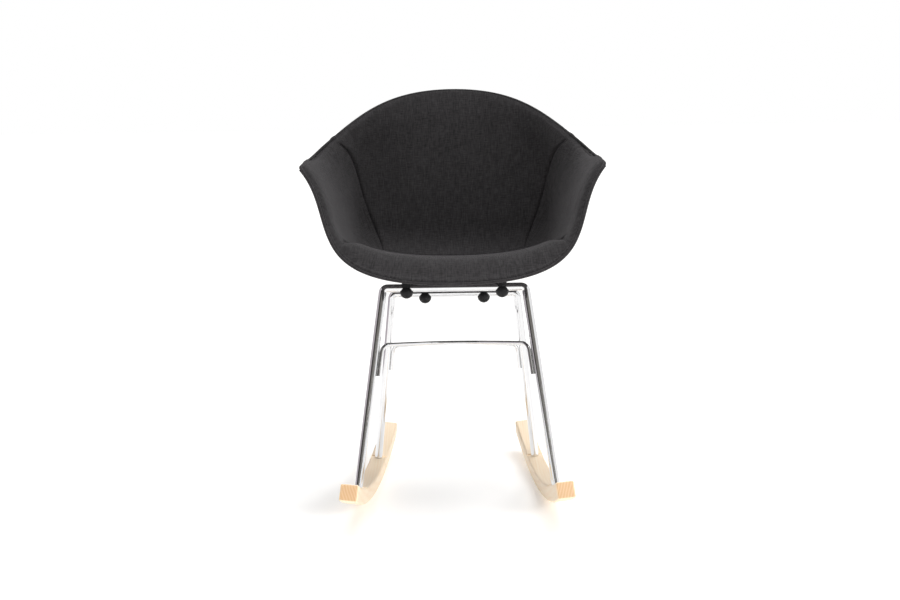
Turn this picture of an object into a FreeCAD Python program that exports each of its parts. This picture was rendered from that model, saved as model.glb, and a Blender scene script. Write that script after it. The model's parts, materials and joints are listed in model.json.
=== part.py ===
import FreeCAD, Part
import math
import os
import Sketcher

# Upholstered rocking chair: a padded bucket seat bolted to two bent tube leg frames on wooden rockers.
# Millimetres and degrees. +Z is up, -Y is the front, X = 0 is the plane of symmetry.
# Left is left as seen from the front.
# The origin is on the floor, under the line where the rockers touch it while the empty chair is at rest.

Vector = FreeCAD.Vector
X_AXIS = Vector(1, 0, 0)
Y_AXIS = Vector(0, 1, 0)
Z_AXIS = Vector(0, 0, 1)

# Driving dimensions
DIMENSIONS = {
    # Rockers: arcs of a ring, canted inwards at the top and toed in towards the rear
    "rocker_radius": 963.0,
    "rocker_depth": 32.0,
    "rocker_width": 34.5,
    "rocker_half_span": 178.8,
    "rocker_cant": 5.3,
    "rocker_toe": 4.4,
    "rocker_front_angle": 22.4,
    "rocker_rear_angle": 16.9,
    "rocker_edge_round": 4.0,
    # Leg frames: bent tube, with the crossbar under the seat and the feet in the rockers
    "tube_diameter": 16.0,
    "tube_wall": 1.5,
    "tube_bend_radius": 10.0,
    "front_bar_y": -108.7,
    "front_bar_z": 430.7,
    "front_bar_half_width": 140.4,
    "front_foot_angle": 14.0,
    "rear_bar_y": 75.0,
    "rear_bar_z": 394.0,
    "rear_bar_half_width": 131.0,
    "rear_foot_angle": -5.4,
    # Feet: each leg stands in a socket and is drawn down by a bolt from below
    "socket_depth": 14.0,
    "socket_clearance": 0.1,
    "foot_flat_length": 22.0,
    "foot_flat_depth": 1.5,
    "rocker_web": 9.0,
    "foot_bolt_diameter": 8.0,
    "foot_bolt_grip": 20.0,
    "foot_bolt_head_diameter": 13.0,
    "foot_bolt_head_height": 5.0,
    "foot_washer_diameter": 16.0,
    "foot_washer_thickness": 1.6,
    "bolt_clearance": 0.25,
    "recess_clearance": 0.4,
    "leg_plug_length": 30.0,
    "press_clearance": 0.05,
    # Stretchers: bowed rods that meet in the middle, with tails bent down along the legs
    "rod_diameter": 8.0,
    "rod_bend_radius": 20.0,
    "stretcher_bow_radius": 92.0,
    "stretcher_drop": 112.0,
    "stretcher_crest": 4.5,
    "front_stretcher_tail": 62.0,
    "rear_stretcher_tail": 52.0,
    "weld_gap": 0.1,
    # Mounts: a saddle on top of the crossbar, a cap below it and a dome over the bolt's head
    "front_mount_half_spacing": 94.3,
    "rear_mount_half_spacing": 61.8,
    "saddle_rise": 13.0,
    "saddle_width": 18.0,
    "saddle_length": 23.0,
    "bar_clearance": 0.1,
    "ball_diameter": 26.0,
    "ball_drop": 8.0,
    "cap_drop": 16.8,
    "dome_groove": 0.5,
    "spigot_height": 1.0,
    "mount_bolt_diameter": 6.0,
    "mount_bolt_head_diameter": 10.0,
    "mount_bolt_head_height": 3.6,
    "mount_washer_diameter": 10.0,
    "mount_washer_thickness": 1.0,
    "mount_web": 2.5,
    "insert_diameter": 9.0,
    "insert_length": 9.0,
    "boss_diameter": 24.0,
    # Bucket, side view of the moulded shell's upper face: lip, roll, seat, turn, back
    "lip_y": -228.0,
    "lip_z": 455.8,
    "lip_angle": 45.0,
    "lip_roll_radius": 36.0,
    "seat_run": 271.3,
    "seat_slope": 6.0,
    "back_turn_radius": 110.0,
    "back_recline": 19.0,
    "back_run": 321.9,
    # Bucket, rim of the arms: from the front tips to where the arms join the back
    "arm_tip_x": 297.9,
    "arm_tip_y": -86.0,
    "arm_tip_z": 666.9,
    "arm_root_x": 293.3,
    "arm_root_y": 62.0,
    "arm_root_z": 680.2,
    # Bucket, cross sections: how far each section runs flat, and how steeply it flares to the rim
    "front_flatness": 903.0,
    "front_flare": 430.6,
    "front_flare_angle": 53.0,
    "crease_flatness": 901.0,
    "crease_flare": 599.0,
    "crease_flare_angle": 54.0,
    "top_flatness": 521.8,
    "top_flare": 386.5,
    "top_flare_angle": 56.2,
    # Upholstery
    "shell_wall": 4.0,
    "outer_fabric": 1.2,
    "inner_fabric": 1.2,
    "seat_foam_depth": 22.0,
    "back_foam_depth": 17.0,
    "arm_foam_depth": 14.0,
    "rim_foam_depth": 3.0,
    "seam_foam_share": 0.45,
    "seam_round": 16.0,
    "rim_round": 45.0,
    "seam_gap": 0.3,
    "foam_clearance": 0.3,
    "crease_run": 374.0,
    "piping_diameter": 6.0,
    "piping_gap": 0.2,
    # Upholstery seams: share of the half width where the arm panels begin
    "front_seam_share": 0.495,
    "middle_seam_share": 0.485,
    "crease_seam_share": 0.25,
    "top_seam_share": 0.83,
    "back_seam_bend": 0.88,
    "seat_corner_power": 8.0,
    "seat_corner_reach": 70.0,
}

doc = FreeCAD.newDocument("rocking_chair")
sheet = doc.addObject("Spreadsheet::Sheet", "Sizes")
for row, (alias, number) in enumerate(DIMENSIONS.items(), start=1):
    sheet.set(f"A{row}", alias)
    sheet.set(f"B{row}", str(number))
    sheet.setAlias(f"B{row}", alias)
doc.recompute()


class Size:
    """A number from the sheet that keeps the formula it came from, so that properties can be bound to it."""

    def __init__(self, value, formula):
        self.value = value
        self.formula = formula

    def join(self, other, sign, value):
        formula = other.formula if isinstance(other, Size) else repr(other)
        return Size(value, f"({self.formula} {sign} {formula})")

    def __float__(self):
        return float(self.value)

    def __add__(self, other):
        return self.join(other, "+", self.value + float(other))

    def __sub__(self, other):
        return self.join(other, "-", self.value - float(other))

    def __mul__(self, other):
        return self.join(other, "*", self.value * float(other))

    def __truediv__(self, other):
        return self.join(other, "/", self.value / float(other))

    def __neg__(self):
        return self * -1


def cell(alias):
    return Size(sheet.get(alias), f"Sizes.{alias}")


def number(alias):
    return float(sheet.get(alias))


def bind(thing, **sizes):
    for name, size in sizes.items():
        setattr(thing, name, float(size))
        thing.setExpression(name, size.formula)


# Building blocks


def along(point, direction):
    """Placement with its origin at a point and its Z axis along a direction."""
    return FreeCAD.Placement(point, FreeCAD.Rotation(Z_AXIS, direction))


def cylinder(name, radius, height, placement):
    thing = doc.addObject("Part::Cylinder", name)
    bind(thing, Radius=radius, Height=height)
    thing.Placement = placement
    return thing


def cut(name, base, *tools):
    for index, tool in enumerate(tools, start=1):
        label = name if index == len(tools) else f"{name}_cut_{index}"
        result = doc.addObject("Part::Cut", label)
        result.Base = base
        result.Tool = tool
        base = result
    return base


def turned(name, corners):
    """Body turned about its Z axis from a closed outline of (radius, height) corners."""
    body = doc.addObject("PartDesign::Body", name)
    sketch = outline(body, f"{name}_outline", corners)
    feature = body.newObject("PartDesign::Revolution", f"{name}_turn")
    feature.Profile = sketch
    feature.ReferenceAxis = (sketch, ["V_Axis"])
    feature.Angle = 360.0
    return body


def outline(body, name, corners):
    """Closed sketch on a body's XZ plane, with every corner held by two sizes."""
    plane = next(f for f in body.Origin.OriginFeatures if f.Role == "XZ_Plane")
    sketch = body.newObject("Sketcher::SketchObject", name)
    sketch.AttachmentSupport = [(plane, "")]
    sketch.MapMode = "FlatFace"
    points = [Vector(float(x), float(z), 0) for x, z in corners]
    count = len(points)
    for index in range(count):
        sketch.addGeometry(Part.LineSegment(points[index], points[(index + 1) % count]), False)
    for index in range(count):
        sketch.addConstraint(Sketcher.Constraint("Coincident", index, 2, (index + 1) % count, 1))
    for index, corner in enumerate(corners):
        for kind, axis, size in (("DistanceX", -2, corner[0]), ("DistanceY", -1, corner[1])):
            if isinstance(size, Size):
                held = Sketcher.Constraint(kind, -1, 1, index, 1, size.value)
                place = sketch.addConstraint(held)
                sketch.setExpression(f"Constraints[{place}]", size.formula)
            else:
                sketch.addConstraint(Sketcher.Constraint("PointOnObject", index, 1, axis))
    return sketch


def set_of(name, master, places):
    """One node of equal pieces, a copy of the master at each place."""
    doc.recompute()
    copies = [master.Shape.transformed(place.toMatrix(), True) for place in places]
    group = doc.addObject("Part::Feature", name)
    group.Shape = Part.makeCompound(copies)
    return group


def rounded_path(points, radii, closed=False):
    """Straight runs between points, joined by tangent arcs of the given radii."""
    count = len(points)
    inner = range(count) if closed else range(1, count - 1)
    starts, ends, arcs = {}, {}, {}
    for index in inner:
        here = points[index]
        back = (points[index - 1] - here).normalize()
        onward = (points[(index + 1) % count] - here).normalize()
        half_turn = (math.pi - back.getAngle(onward)) / 2
        reach = radii[index] * math.tan(half_turn)
        bulge = radii[index] * (1 / math.cos(half_turn) - 1)
        starts[index] = here + back * reach
        ends[index] = here + onward * reach
        middle = here + (back + onward).normalize() * bulge
        arcs[index] = Part.Arc(starts[index], middle, ends[index]).toShape()
    edges = []
    for index in range(count if closed else count - 1):
        following = (index + 1) % count
        run_start = ends.get(index, points[index])
        run_end = starts.get(following, points[following])
        if index in arcs:
            edges.append(arcs[index])
        if (run_end - run_start).Length > 1e-3:
            edges.append(Part.LineSegment(run_start, run_end).toShape())
    return Part.Wire(edges)


def swept(name, path, radius):
    """Round bar of the given radius along a path object."""
    first = path.Shape.Edges[0]
    start = first.valueAt(first.FirstParameter)
    profile = doc.addObject("Part::Circle", f"{name}_profile")
    bind(profile, Radius=radius)
    profile.Placement = along(start, first.tangentAt(first.FirstParameter))
    sweep = doc.addObject("Part::Sweep", name)
    sweep.Sections = [profile]
    sweep.Spine = (path, [f"Edge{index + 1}" for index in range(len(path.Shape.Edges))])
    sweep.Solid = True
    sweep.Frenet = False
    return sweep


def path_object(name, wire):
    thing = doc.addObject("Part::Feature", name)
    thing.Shape = wire
    return thing


nodes = {}


def keep(thing, name):
    thing.Label = name
    nodes[name] = thing
    return thing


SIDES = {"left": -1, "right": 1}
ENDS = ("front", "rear")
tube_radius = cell("tube_diameter") / 2
bore_radius = tube_radius - cell("tube_wall")

# Rockers: where they stand


def rocker_placement(side):
    """Place of a ring's centre: canted, toed in, and lowered until its inner edge touches the floor."""
    cant = math.radians(number("rocker_cant"))
    lean = FreeCAD.Rotation(Y_AXIS, -side * number("rocker_cant"))
    toe = FreeCAD.Rotation(Z_AXIS, side * number("rocker_toe"))
    turn = toe * lean
    edge = number("rocker_edge_round")
    lowest = turn.multVec(Vector(0, 0, -number("rocker_radius")))
    height = (number("rocker_width") / 2 - edge) * math.sin(cant) + edge
    height += (number("rocker_radius") - edge) * math.cos(cant)
    centre = Vector(side * number("rocker_half_span") - lowest.x, -lowest.y, height)
    return FreeCAD.Placement(centre, turn)


def on_rocker(side, angle, radius):
    """Point on a rocker's middle plane: angle forward of its lowest line, and distance from its centre."""
    turn = math.radians(angle)
    return rocker_placement(side).multVec(Vector(0, -radius * math.sin(turn), -radius * math.cos(turn)))


# Leg frames: crossbar corners and feet


def bar_corner(end, side):
    return Vector(side * number(f"{end}_bar_half_width"), number(f"{end}_bar_y"), number(f"{end}_bar_z"))


def foot(end, side):
    """Centre of a leg's lower end, on the floor of its socket."""
    radius = number("rocker_radius") - number("rocker_depth") + number("socket_depth")
    return on_rocker(side, number(f"{end}_foot_angle"), radius)


def foot_place(end, side):
    """Frame at a foot with Z up along the leg."""
    return along(foot(end, side), bar_corner(end, side) - foot(end, side))


FEET = [(end, side) for end in ENDS for side in SIDES.values()]

# Mounts: frame at each crossing of a crossbar, with Z square to the plane of the two crossbars
bar_fall = number("front_bar_z") - number("rear_bar_z")
frame_tilt = math.degrees(math.atan2(bar_fall, number("rear_bar_y") - number("front_bar_y")))
mount_turn = FreeCAD.Rotation(X_AXIS, -frame_tilt)


def mount_place(end, side):
    centre = Vector(side * number(f"{end}_mount_half_spacing"), number(f"{end}_bar_y"), number(f"{end}_bar_z"))
    return FreeCAD.Placement(centre, mount_turn)


MOUNTS = [(end, side) for end in ENDS for side in SIDES.values()]

# Rockers: a rectangle turned about the ring's axis, edges rounded, then cut for the feet


def rocker(name, side):
    body = doc.addObject("PartDesign::Body", f"{name}_ring")
    half = cell("rocker_width") / 2
    outer = -cell("rocker_radius")
    inner = outer + cell("rocker_depth")
    section = outline(body, f"{name}_section", [(-half, outer), (half, outer), (half, inner), (-half, inner)])
    ring = body.newObject("PartDesign::Revolution", f"{name}_arc")
    ring.Profile = section
    ring.ReferenceAxis = (section, ["H_Axis"])
    bind(ring, Angle=cell("rocker_front_angle") + cell("rocker_rear_angle"))
    doc.recompute()
    edges = body.newObject("PartDesign::Fillet", f"{name}_edges")
    edges.Base = (ring, [f"Edge{index + 1}" for index in range(len(ring.Shape.Edges))])
    bind(edges, Radius=cell("rocker_edge_round"))
    swing = FreeCAD.Rotation(X_AXIS, -number("rocker_front_angle"))
    place = rocker_placement(side)
    body.Placement = place * FreeCAD.Placement(Vector(), swing)
    tools = []
    for end in ENDS:
        up = foot_place(end, side)
        reach = cell("rocker_depth") * 2
        web = -number("rocker_web")
        below = FreeCAD.Rotation(X_AXIS, 180)
        tag = f"{name}_{end}"
        flat = doc.addObject("Part::Box", f"{tag}_flat")
        bind(flat, Length=cell("rocker_width") * 2, Width=cell("foot_flat_length"), Height=reach)
        level = number("socket_depth") - number("foot_flat_depth")
        corner = Vector(-number("rocker_width"), -number("foot_flat_length") / 2, level)
        heading = FreeCAD.Rotation(Z_AXIS, side * number("rocker_toe"))
        axes = FreeCAD.Rotation(heading.multVec(X_AXIS), Vector(), up.Rotation.multVec(Z_AXIS), "ZXY")
        flat.Placement = FreeCAD.Placement(up.Base, axes) * FreeCAD.Placement(corner, FreeCAD.Rotation())
        tools.append(flat)
        tools.append(cylinder(f"{tag}_socket", tube_radius + cell("socket_clearance"), reach, up))
        shank = cell("foot_bolt_diameter") / 2 + cell("bolt_clearance")
        tools.append(cylinder(f"{tag}_hole", shank, reach, up * FreeCAD.Placement(Vector(), below)))
        recess = cell("foot_washer_diameter") / 2 + cell("recess_clearance")
        floor = up * FreeCAD.Placement(Vector(0, 0, web), below)
        tools.append(cylinder(f"{tag}_recess", recess, reach, floor))
    return cut(name, body, *tools)


for word, side in SIDES.items():
    keep(rocker(f"{word}_rocker", side), f"{word}_rocker")

# Leg frames: one tube each, drilled for the mount bolts


def leg_frame(end):
    points = [foot(end, -1), bar_corner(end, -1), bar_corner(end, 1), foot(end, 1)]
    bend = number("tube_bend_radius")
    path = path_object(f"{end}_leg_path", rounded_path(points, [0, bend, bend, 0]))
    tube = swept(f"{end}_leg_tube", path, tube_radius)
    bore = swept(f"{end}_leg_bore", path, bore_radius)
    drills = []
    for word, side in SIDES.items():
        shift = FreeCAD.Placement(Vector(0, 0, -number("tube_diameter")), FreeCAD.Rotation())
        hole = cell("mount_bolt_diameter") / 2 + cell("bolt_clearance")
        place = mount_place(end, side) * shift
        drills.append(cylinder(f"{end}_{word}_drill", hole, cell("tube_diameter") * 2, place))
    return cut(f"{end}_leg_frame", tube, bore, *drills)


for end in ENDS:
    keep(leg_frame(end), f"{end}_leg_frame")

# Feet: threaded plugs, washers and bolts, in the frame of a foot
foot_shank = cell("foot_bolt_diameter") / 2
foot_thread = foot_shank + cell("press_clearance")
foot_plug_radius = bore_radius - cell("press_clearance")
plug_top = cell("leg_plug_length")
plug_corners = [(foot_thread, 0), (foot_plug_radius, 0), (foot_plug_radius, plug_top), (foot_thread, plug_top)]
washer_top = -cell("rocker_web")
washer_base = washer_top - cell("foot_washer_thickness")
washer_edge = cell("foot_washer_diameter") / 2
washer_hole = foot_shank + cell("bolt_clearance")
washer_corners = [
    (washer_hole, washer_base),
    (washer_edge, washer_base),
    (washer_edge, washer_top),
    (washer_hole, washer_top),
]
head_edge = cell("foot_bolt_head_diameter") / 2
head_base = washer_base - cell("foot_bolt_head_height")
bolt_tip = cell("foot_bolt_grip")
bolt_corners = [
    (0, head_base),
    (head_edge, head_base),
    (head_edge, washer_base),
    (foot_shank, washer_base),
    (foot_shank, bolt_tip),
    (0, bolt_tip),
]
foot_places = [foot_place(end, side) for end, side in FEET]
keep(set_of("leg_plugs", turned("leg_plug", plug_corners), foot_places), "leg_plugs")
keep(set_of("rocker_washers", turned("rocker_washer", washer_corners), foot_places), "rocker_washers")
keep(set_of("rocker_bolts", turned("rocker_bolt", bolt_corners), foot_places), "rocker_bolts")

# Stretchers: rods lying along the insides of the legs, then bowed towards each other
rod_radius = cell("rod_diameter") / 2


def rod_line(end, side):
    """Point level with the stretcher, and direction down the leg, on the line that a rod's tail follows."""
    corner = bar_corner(end, side)
    down = (foot(end, side) - corner).normalize()
    inward = (X_AXIS * -side - down * (X_AXIS * -side).dot(down)).normalize()
    offset = float(tube_radius) + float(rod_radius) + number("weld_gap")
    return corner + down * number("stretcher_drop") + inward * offset, down


def stretcher(end):
    left, left_down = rod_line(end, -1)
    right, right_down = rod_line(end, 1)
    other = "rear" if end == "front" else "front"
    far = rod_line(other, -1)[0]
    to_crest = Vector(0, far.y - left.y, far.z - left.z) / 2 + Z_AXIS * number("stretcher_crest")
    gap = number("rod_diameter") + number("weld_gap")
    rise = to_crest.Length - gap / 2
    half = right.x
    bow = number("stretcher_bow_radius")
    lean = math.atan2(rise - bow, half)
    run_angle = lean + math.asin(bow / math.hypot(half, rise - bow))
    meeting = Vector(0, left.y, left.z) + to_crest.normalize() * (half * math.tan(run_angle))
    tail = number(f"{end}_stretcher_tail")
    points = [left + left_down * tail, left, meeting, right, right + right_down * tail]
    bend = number("rod_bend_radius")
    path = path_object(f"{end}_stretcher_path", rounded_path(points, [0, bend, bow, bend, 0]))
    return swept(f"{end}_stretcher", path, rod_radius)


for end in ENDS:
    keep(stretcher(end), f"{end}_stretcher")

# Mounts: saddle, cap, dome, bolt and washer, in the frame of a mount
mount_shank = cell("mount_bolt_diameter") / 2
mount_hole = mount_shank + cell("bolt_clearance")
ball_radius = cell("ball_diameter") / 2
recess_radius = cell("mount_washer_diameter") / 2 + cell("recess_clearance")
recess_roof = -tube_radius - cell("mount_web")
ball_shift = FreeCAD.Placement(Vector(0, 0, -number("ball_drop")), FreeCAD.Rotation())


def latitude(height):
    """Angle of a level of the ball, seen from the ball's centre."""
    return math.degrees(math.asin((height + number("ball_drop")) / float(ball_radius)))


def bar_hole(name, place):
    """Cylinder along a crossbar, a little wider than the tube."""
    turn = FreeCAD.Rotation(Y_AXIS, 90)
    shift = FreeCAD.Placement(Vector(-number("ball_diameter"), 0, 0), turn)
    return cylinder(name, tube_radius + cell("bar_clearance"), cell("ball_diameter") * 2, place * shift)


def saddle(name, place):
    half_length = cell("saddle_length") / 2
    top = cell("saddle_rise")
    body = turned(f"{name}_round", [(mount_hole, 0), (half_length, 0), (half_length, top), (mount_hole, top)])
    body.Placement = place
    cheeks = doc.addObject("Part::Box", f"{name}_cheeks")
    bind(cheeks, Length=cell("saddle_width"), Width=cell("saddle_length"), Height=top)
    corner = Vector(-number("saddle_width") / 2, -number("saddle_length") / 2, 0)
    cheeks.Placement = place * FreeCAD.Placement(corner, FreeCAD.Rotation())
    slim = doc.addObject("Part::Common", f"{name}_slim")
    slim.Base = body
    slim.Tool = cheeks
    return cut(name, slim, bar_hole(f"{name}_bar", place))


def cap(name, place):
    ball = doc.addObject("Part::Sphere", f"{name}_ball")
    bind(ball, Radius=ball_radius)
    ball.Angle1 = latitude(-number("cap_drop"))
    ball.Angle2 = latitude(0)
    ball.Placement = place * ball_shift
    below = FreeCAD.Rotation(X_AXIS, 180)
    downward = place * FreeCAD.Placement(Vector(), below)
    shank = cylinder(f"{name}_hole", mount_hole, cell("ball_diameter"), downward)
    roof = place * FreeCAD.Placement(Vector(0, 0, float(recess_roof)), below)
    recess = cylinder(f"{name}_recess", recess_radius, cell("ball_diameter"), roof)
    return cut(name, ball, bar_hole(f"{name}_bar", place), shank, recess)


def dome(name):
    ball = doc.addObject("Part::Sphere", f"{name}_ball")
    bind(ball, Radius=ball_radius)
    ball.Angle1 = -90
    ball.Angle2 = latitude(-number("cap_drop") - number("dome_groove"))
    ball.Placement = ball_shift
    root = Vector(0, 0, -number("cap_drop") - number("dome_groove"))
    height = cell("spigot_height") + cell("dome_groove")
    radius = recess_radius - cell("bar_clearance")
    spigot = cylinder(f"{name}_spigot", radius, height, FreeCAD.Placement(root, FreeCAD.Rotation()))
    whole = doc.addObject("Part::Fuse", name)
    whole.Base = ball
    whole.Tool = spigot
    return whole


for end, side in MOUNTS:
    word = "left" if side < 0 else "right"
    keep(saddle(f"{end}_{word}_mount_saddle", mount_place(end, side)), f"{end}_{word}_mount_saddle")
    keep(cap(f"{end}_{word}_mount_cap", mount_place(end, side)), f"{end}_{word}_mount_cap")

mount_places = [mount_place(end, side) for end, side in MOUNTS]
mount_washer_edge = cell("mount_washer_diameter") / 2
mount_washer_base = recess_roof - cell("mount_washer_thickness")
mount_head_edge = cell("mount_bolt_head_diameter") / 2
mount_head_base = mount_washer_base - cell("mount_bolt_head_height")
insert_edge = cell("insert_diameter") / 2
insert_base = cell("saddle_rise")
insert_top = insert_base + cell("insert_length")
insert_thread = mount_shank + cell("press_clearance")
mount_washer_corners = [
    (mount_hole, mount_washer_base),
    (mount_washer_edge, mount_washer_base),
    (mount_washer_edge, recess_roof),
    (mount_hole, recess_roof),
]
mount_bolt_corners = [
    (0, mount_head_base),
    (mount_head_edge, mount_head_base),
    (mount_head_edge, mount_washer_base),
    (mount_shank, mount_washer_base),
    (mount_shank, insert_top),
    (0, insert_top),
]
insert_corners = [
    (insert_thread, insert_base),
    (insert_edge, insert_base),
    (insert_edge, insert_top),
    (insert_thread, insert_top),
]
keep(set_of("mount_domes", dome("mount_dome"), mount_places), "mount_domes")
keep(set_of("mount_washers", turned("mount_washer", mount_washer_corners), mount_places), "mount_washers")
keep(set_of("mount_bolts", turned("mount_bolt", mount_bolt_corners), mount_places), "mount_bolts")
keep(set_of("threaded_inserts", turned("threaded_insert", insert_corners), mount_places), "threaded_inserts")

# Bucket: a fan of U-shaped sections from the front edge, over the seat and up the back
lip_turn = math.radians(number("lip_angle") + number("seat_slope"))
back_angle = 90 - number("back_recline")
back_turn = math.radians(back_angle + number("seat_slope"))
SPANS = [
    (lip_turn * number("lip_roll_radius"), number("lip_angle"), -1 / number("lip_roll_radius")),
    (number("seat_run"), -number("seat_slope"), 0),
    (back_turn * number("back_turn_radius"), -number("seat_slope"), 1 / number("back_turn_radius")),
    (number("back_run"), back_angle, 0),
]
centre_length = sum(span[0] for span in SPANS)
crease_share = number("crease_run") / centre_length


def step_along(heading, bend, distance):
    """Move made along a straight or an arc that starts with a heading, as (y, z)."""
    if bend == 0:
        return distance * math.cos(heading), distance * math.sin(heading)
    end = heading + bend * distance
    return (math.sin(end) - math.sin(heading)) / bend, (math.cos(heading) - math.cos(end)) / bend


def centre_point(run):
    """Point of the middle line, as (y, z), at a share of its length. Past the ends it carries straight on."""
    left = run * centre_length
    y, z = number("lip_y"), number("lip_z")
    if left < 0:
        dy, dz = step_along(math.radians(number("lip_angle")), 0, left)
        return y + dy, z + dz
    for index, (length, heading, bend) in enumerate(SPANS):
        part = left if index == len(SPANS) - 1 else min(left, length)
        dy, dz = step_along(math.radians(heading), bend, part)
        y, z, left = y + dy, z + dz, left - part
    return y, z


def blend(run, front, crease, top):
    """Value that eases from the front edge, through the crease, to the top of the back."""
    if run < crease_share:
        share = max(run, 0) / crease_share
        return front + (crease - front) * share * share * (3 - 2 * share)
    share = min((run - crease_share) / (1 - crease_share), 1)
    return crease + (top - crease) * share * share


def section_value(name, run):
    return blend(run, *(number(f"{place}_{name}") for place in ("front", "crease", "top")))


def bucket_point(share, run, lift):
    """Point of the bucket: share across from -1 to 1, run from lip to top, lift above the moulded face."""
    y, z = centre_point(run)
    end_x, end_y, end_z = (
        number(f"arm_tip_{axis}") * (1 - run) + number(f"arm_root_{axis}") * run
        for axis in "xyz"
    )
    height = math.hypot(end_y - y, end_z - z)
    angle = math.radians(section_value("flare_angle", run))
    flat = section_value("flatness", run)
    flare = section_value("flare", run)
    s = abs(share)
    start, finish, leave = s**3 - 2 * s**2 + s, 3 * s**2 - 2 * s**3, s**3 - s**2
    start_rate, finish_rate, leave_rate = 3 * s**2 - 4 * s + 1, 6 * s - 6 * s**2, 3 * s**2 - 2 * s
    across = start * flat + finish * end_x + leave * flare * math.cos(angle)
    up = finish * height + leave * flare * math.sin(angle)
    across_rate = start_rate * flat + finish_rate * end_x + leave_rate * flare * math.cos(angle)
    up_rate = finish_rate * height + leave_rate * flare * math.sin(angle)
    rate = math.hypot(across_rate, up_rate)
    across -= lift * up_rate / rate
    up += lift * across_rate / rate
    side = -1 if share < 0 else 1
    return Vector(side * across, y + up * (end_y - y) / height, z + up * (end_z - z) / height)


def seam_share(run):
    """Share across at which the arm panels meet the seat or the back."""
    places = ("front", "middle", "crease", "top")
    front, middle, crease, top = (number(f"{place}_seam_share") for place in places)
    if run > crease_share:
        climb = ((run - crease_share) / (1 - crease_share)) ** number("back_seam_bend")
        return crease + (top - crease) * climb * climb * (3 - 2 * climb)
    share = run / crease_share
    return front + (middle - front) * share + (crease - middle) * share ** number("seat_corner_power")


def arcs_through(points):
    return [Part.Arc(*points[index : index + 3]).toShape() for index in range(0, len(points) - 2, 2)]


def band(lower, upper):
    """Closed section between two rows of points."""
    edges = arcs_through(upper)
    edges.append(Part.LineSegment(upper[-1], lower[-1]).toShape())
    edges += arcs_through(lower[::-1])
    edges.append(Part.LineSegment(lower[0], upper[0]).toShape())
    return Part.Wire(edges)


def loft(name, wires):
    thing = doc.addObject("Part::Feature", name)
    thing.Shape = Part.makeLoft(wires, True, False)
    return thing


def even(first, last, count):
    return [first + (last - first) * index / count for index in range(count + 1)]


def runs_between(first, last, first_reach, last_reach, count):
    """Runs of a panel's sections, closer together towards its ends."""
    steps = (0, 0.1, 0.3, 0.6, 1)
    start = [first + first_reach / centre_length * step for step in steps]
    finish = [last - last_reach / centre_length * step for step in reversed(steps)]
    return start[:-1] + even(start[-1], finish[0], count) + finish[1:]


SHELL_RUNS = runs_between(0, 1, number("rim_round"), number("rim_round"), 12)
SHELL_SHARES = even(-1, 1, 24)


def whole_layer(name, low, high):
    """Layer of the bucket from rim to rim, between two lifts."""
    wires = []
    for run in SHELL_RUNS:
        lower = [bucket_point(share, run, low) for share in SHELL_SHARES]
        upper = [bucket_point(share, run, high) for share in SHELL_SHARES]
        wires.append(band(lower, upper))
    return loft(name, wires)


# Moulded shell with a boss at each mount, and the fabric glued to its outside
wall = number("shell_wall")
moulding = whole_layer("moulding", -wall, 0)
skin = whole_layer("outside_fabric", -wall - number("outer_fabric"), -wall)


def boss_height(place):
    """Height of the middle of the moulded wall over a mount, in the frame of the mount."""
    probe = Part.makeLine(place.Base, place.multVec(Vector(0, 0, number("front_bar_z"))))
    inside = probe.common(moulding.Shape)
    return place.inverse().multVec(inside.BoundBox.Center).z


bosses = []
cover_holes = []
insert_holes = []
for place, (end, side) in zip(mount_places, MOUNTS):
    tag = f"{end}_{'left' if side < 0 else 'right'}"
    base = place * FreeCAD.Placement(Vector(0, 0, number("saddle_rise")), FreeCAD.Rotation())
    boss = doc.addObject("Part::Cylinder", f"{tag}_boss")
    bind(boss, Radius=cell("boss_diameter") / 2)
    boss.Height = boss_height(place) - number("saddle_rise")
    boss.Placement = base
    bosses.append(boss)
    hole_radius = cell("boss_diameter") / 2 + cell("recess_clearance")
    cover_holes.append(cylinder(f"{tag}_cover_hole", hole_radius, cell("boss_diameter") * 3, base))
    grip = insert_edge + cell("press_clearance")
    hole_depth = cell("insert_length") + cell("recess_clearance")
    insert_holes.append(cylinder(f"{tag}_insert_hole", grip, hole_depth, base))
joined = doc.addObject("Part::MultiFuse", "moulding_with_bosses")
joined.Shapes = [moulding] + bosses
keep(cut("seat_shell", joined, *insert_holes), "seat_shell")
keep(cut("outer_cover", skin, *cover_holes), "outer_cover")

# Foam and inner fabric: four panels that swell between their seams and thin out towards the rim


def swell(distance, edge, reach):
    """Share of the full depth at a distance from an edge: a quarter ellipse from the edge's share up to 1."""
    inside = min(max(distance / reach, 0), 1)
    return edge + (1 - edge) * math.sqrt(1 - (1 - inside) ** 2)


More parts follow.
